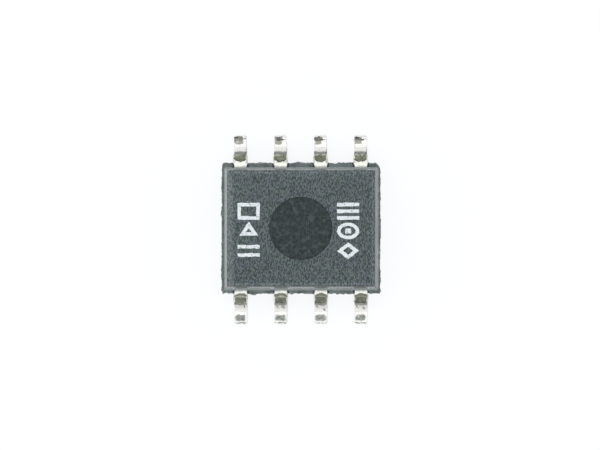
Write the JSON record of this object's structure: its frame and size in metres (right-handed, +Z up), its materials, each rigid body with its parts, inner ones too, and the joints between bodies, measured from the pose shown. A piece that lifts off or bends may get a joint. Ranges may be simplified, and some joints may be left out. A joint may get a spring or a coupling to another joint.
{
  "type": "eight-lead digital-to-analog converter",
  "caption": "Small-outline digital-to-analog converter: a moulded resin body over a die and lead frame, with gull-wing leads along both long sides.",
  "frame": {"origin": "middle of the seating plane, under the centre of the body", "axes": "+Z up out of the board, +X along the lead rows, +Y across the rows, from one row of leads to the other"},
  "size_m": [0.005, 0.006, 0.0016],
  "materials": {
    "moulding_resin": "spark-eroded matt grain",
    "lead_plating": "matt tin-lead plating",
    "copper_pad": "bare copper sheet",
    "die_adhesive": "silver-filled adhesive",
    "silicon": "polished",
    "gold_wire": "drawn wire",
    "marking_ink": "printed white ink"
  },
  "bodies": {
    "root": {"moulded_body": "moulding_resin", "die_pad": "copper_pad", "die_attach": "die_adhesive", "die": "silicon", "lead_1": "lead_plating", "lead_2": "lead_plating", "lead_3": "lead_plating", "lead_4": "lead_plating", "lead_5": "lead_plating", "lead_6": "lead_plating", "lead_7": "lead_plating", "lead_8": "lead_plating", "bond_wire_1": "gold_wire", "bond_wire_2": "gold_wire", "bond_wire_3": "gold_wire", "bond_wire_4": "gold_wire", "bond_wire_5": "gold_wire", "bond_wire_6": "gold_wire", "bond_wire_7": "gold_wire", "bond_wire_8": "gold_wire"}
  },
  "joints": []
}
